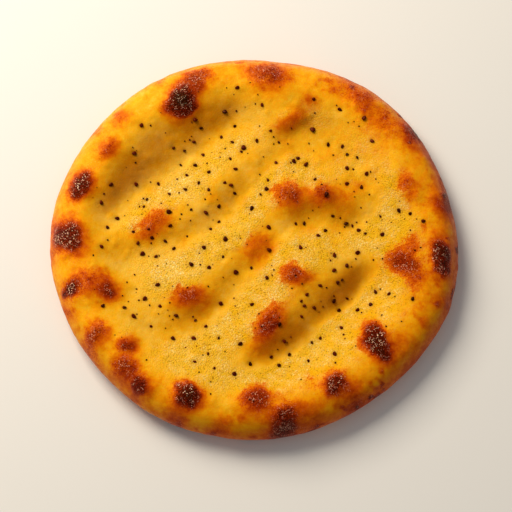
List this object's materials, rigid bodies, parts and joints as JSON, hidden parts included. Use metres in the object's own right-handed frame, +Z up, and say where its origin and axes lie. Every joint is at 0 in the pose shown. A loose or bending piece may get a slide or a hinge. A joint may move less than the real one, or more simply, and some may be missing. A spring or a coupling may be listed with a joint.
{
  "type": "naan bread",
  "caption": "Round baked flatbread with a puffed rim, finger-pressed grooves across its top, browned blisters and seeds set in the crust; lies flat on a plate or board.",
  "frame": {"origin": "middle of the outline's box, on the flat underside of the bread", "axes": "+Z up out of the seeded top; +X to the right along the longest width; the pressed grooves run from the lower left (-X, -Y) to the upper right (+X, +Y)"},
  "size_m": [0.22, 0.213, 0.0227],
  "materials": {
    "crust": "baked wheat crust, golden, browned in places, lightly glossy with butter",
    "seed_coat": "dry nigella seed, near-black, satin"
  },
  "bodies": {
    "root": {"naan_bread": "crust", "nigella_seed_01": "seed_coat", "nigella_seed_02": "seed_coat", "nigella_seed_03": "seed_coat", "nigella_seed_04": "seed_coat", "nigella_seed_05": "seed_coat", "nigella_seed_06": "seed_coat", "nigella_seed_07": "seed_coat", "nigella_seed_08": "seed_coat", "nigella_seed_09": "seed_coat", "nigella_seed_10": "seed_coat", "nigella_seed_11": "seed_coat", "nigella_seed_12": "seed_coat", "nigella_seed_13": "seed_coat", "nigella_seed_14": "seed_coat", "nigella_seed_15": "seed_coat", "nigella_seed_16": "seed_coat", "nigella_seed_17": "seed_coat", "nigella_seed_18": "seed_coat", "nigella_seed_19": "seed_coat", "nigella_seed_20": "seed_coat", "nigella_seed_21": "seed_coat", "nigella_seed_22": "seed_coat", "nigella_seed_23": "seed_coat", "nigella_seed_24": "seed_coat", "nigella_seed_25": "seed_coat", "nigella_seed_26": "seed_coat", "nigella_seed_27": "seed_coat", "nigella_seed_28": "seed_coat", "nigella_seed_29": "seed_coat", "nigella_seed_30": "seed_coat", "nigella_seed_31": "seed_coat", "nigella_seed_32": "seed_coat", "nigella_seed_33": "seed_coat", "nigella_seed_34": "seed_coat", "nigella_seed_35": "seed_coat", "nigella_seed_36": "seed_coat", "nigella_seed_37": "seed_coat", "nigella_seed_38": "seed_coat", "nigella_seed_39": "seed_coat", "nigella_seed_40": "seed_coat", "nigella_seed_41": "seed_coat", "nigella_seed_42": "seed_coat", "nigella_seed_43": "seed_coat", "nigella_seed_44": "seed_coat", "nigella_seed_45": "seed_coat", "nigella_seed_46": "seed_coat", "nigella_seed_47": "seed_coat", "nigella_seed_48": "seed_coat", "nigella_seed_49": "seed_coat", "nigella_seed_50": "seed_coat", "nigella_seed_51": "seed_coat", "nigella_seed_52": "seed_coat", "nigella_seed_53": "seed_coat", "nigella_seed_54": "seed_coat", "nigella_seed_55": "seed_coat", "nigella_seed_56": "seed_coat", "nigella_seed_57": "seed_coat", "nigella_seed_58": "seed_coat", "nigella_seed_59": "seed_coat"}
  },
  "joints": []
}
